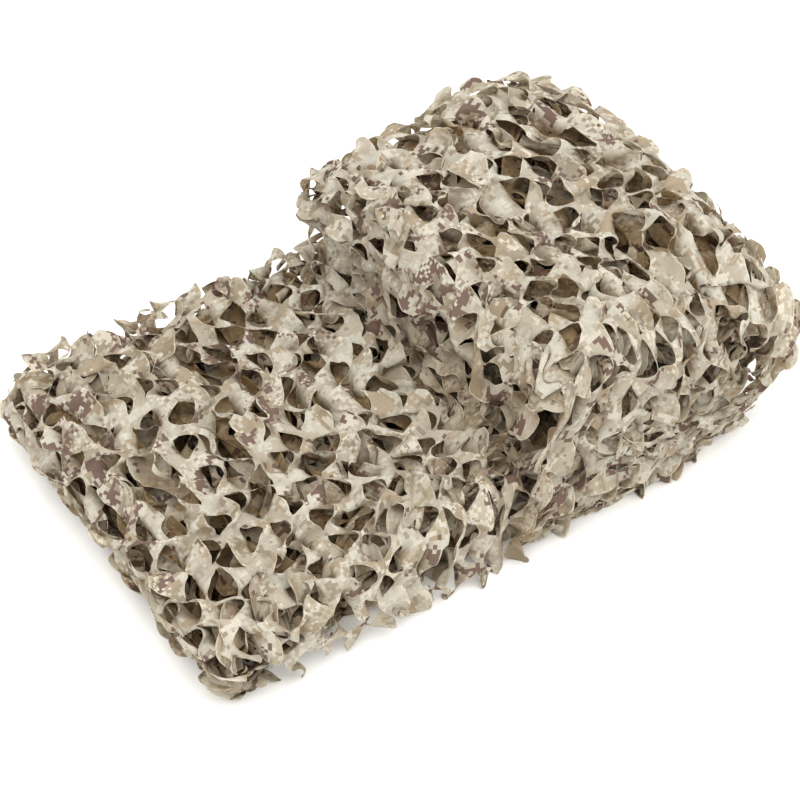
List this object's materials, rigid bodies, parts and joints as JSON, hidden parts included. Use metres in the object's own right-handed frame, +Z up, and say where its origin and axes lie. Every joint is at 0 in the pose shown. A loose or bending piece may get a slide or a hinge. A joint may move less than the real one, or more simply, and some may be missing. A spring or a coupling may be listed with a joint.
{
  "type": "folded camouflage netting",
  "caption": "Leaf-cut camouflage cloth netting, folded back and forth into a long bundle with one end turned back on top.",
  "frame": {"origin": "middle of the bundle's footprint, on the surface that it rests on", "axes": "+X along the bundle towards its turned-back end, +Y across it towards its far side, +Z up"},
  "size_m": [0.8032, 0.5149, 0.2584],
  "materials": {
    "printed_cloth": "matt woven polyester, printed"
  },
  "bodies": {
    "root": {"net": "printed_cloth"}
  },
  "joints": []
}
